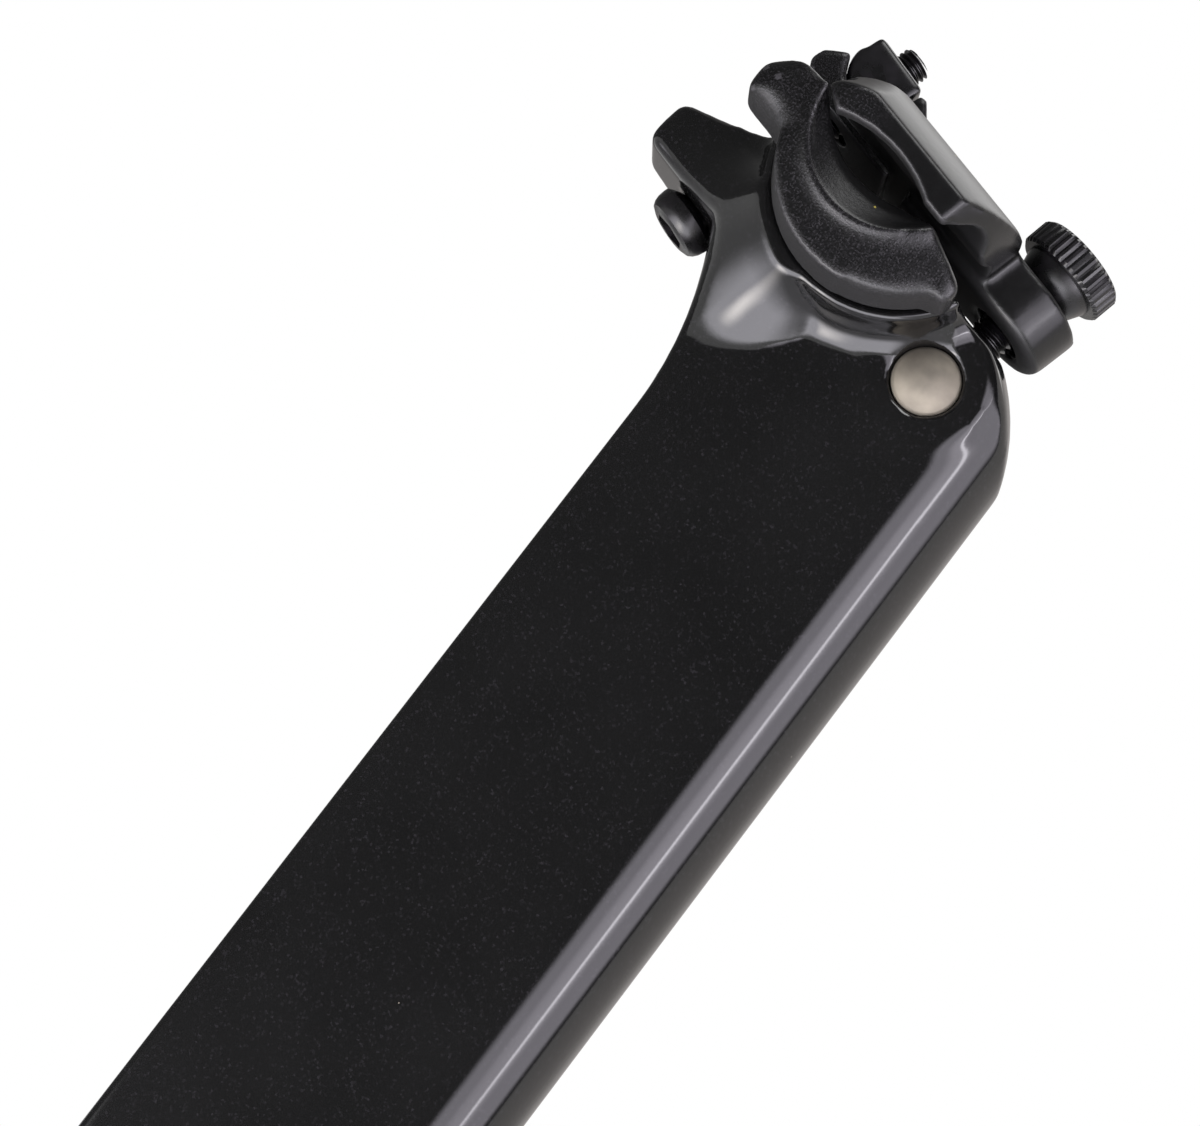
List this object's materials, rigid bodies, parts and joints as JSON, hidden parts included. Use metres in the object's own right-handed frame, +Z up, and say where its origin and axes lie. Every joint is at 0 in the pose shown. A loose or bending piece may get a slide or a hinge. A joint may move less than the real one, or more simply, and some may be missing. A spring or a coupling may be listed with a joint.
{
  "type": "bicycle seatpost",
  "caption": "Aero bicycle seatpost: hollow teardrop shank with a head that carries a two-bolt tilting clamp for a saddle's round rails.",
  "frame": {"origin": "middle of the shank's cut lower end, halfway along its chord", "axes": "+X forward along the chord to the round nose, +Y to the left, +Z up along the post"},
  "size_m": [0.0677, 0.056, 0.3718],
  "materials": {
    "gloss_black_carbon": "gloss clear coat over black carbon composite",
    "cast_black_aluminium": "rough cast, black anodised",
    "satin_steel": "satin",
    "black_steel": "black oxide, oiled"
  },
  "bodies": {
    "post": {"post_body": "gloss_black_carbon"},
    "saddle_clamp": {"lower_cradle": "cast_black_aluminium", "upper_clamp": "cast_black_aluminium"},
    "front_barrel": {"front_barrel_nut": "satin_steel"},
    "thumb_bolt": {"front_thumb_bolt": "black_steel"},
    "rear_bolt": {"rear_bolt": "black_steel"},
    "rear_nut": {"rear_half_nut": "black_steel"}
  },
  "joints": [
    {"name": "saddle_tilt", "type": "hinge", "parent": "post", "child": "saddle_clamp", "pos_m": [-0.012, 0, 0.35], "axis": [0, 1, 0], "range_deg": [-8, 5.5]},
    {"name": "front_barrel_turn", "type": "hinge", "parent": "post", "child": "front_barrel", "pos_m": [0.0063, 0, 0.3327], "axis": [0, 1, 0], "range_deg": [-3.4, 2.4]},
    {"name": "thumb_bolt_travel", "type": "slide", "parent": "front_barrel", "child": "thumb_bolt", "axis": [0.2215, 0, 0.9751], "range_m": [-0.0022, 0.0032]},
    {"name": "rear_bolt_lean", "type": "hinge", "parent": "post", "child": "rear_bolt", "pos_m": [-0.03564, 0, 0.32894], "axis": [0, 1, 0], "range_deg": [-2.4, 1.7]},
    {"name": "rear_nut_turn", "type": "hinge", "parent": "saddle_clamp", "child": "rear_nut", "pos_m": [-0.02396, 0, 0.36489], "axis": [0, 1, 0], "range_deg": [-4.2, 6.1]}
  ],
  "couplings": [
    {"joint": "front_barrel_turn", "follows": "saddle_tilt", "ratio": 0.4051},
    {"joint": "thumb_bolt_travel", "follows": "saddle_tilt", "m_per_rad": -0.021666},
    {"joint": "rear_bolt_lean", "follows": "saddle_tilt", "ratio": 0.2761},
    {"joint": "rear_nut_turn", "follows": "saddle_tilt", "ratio": -0.7239}
  ]
}
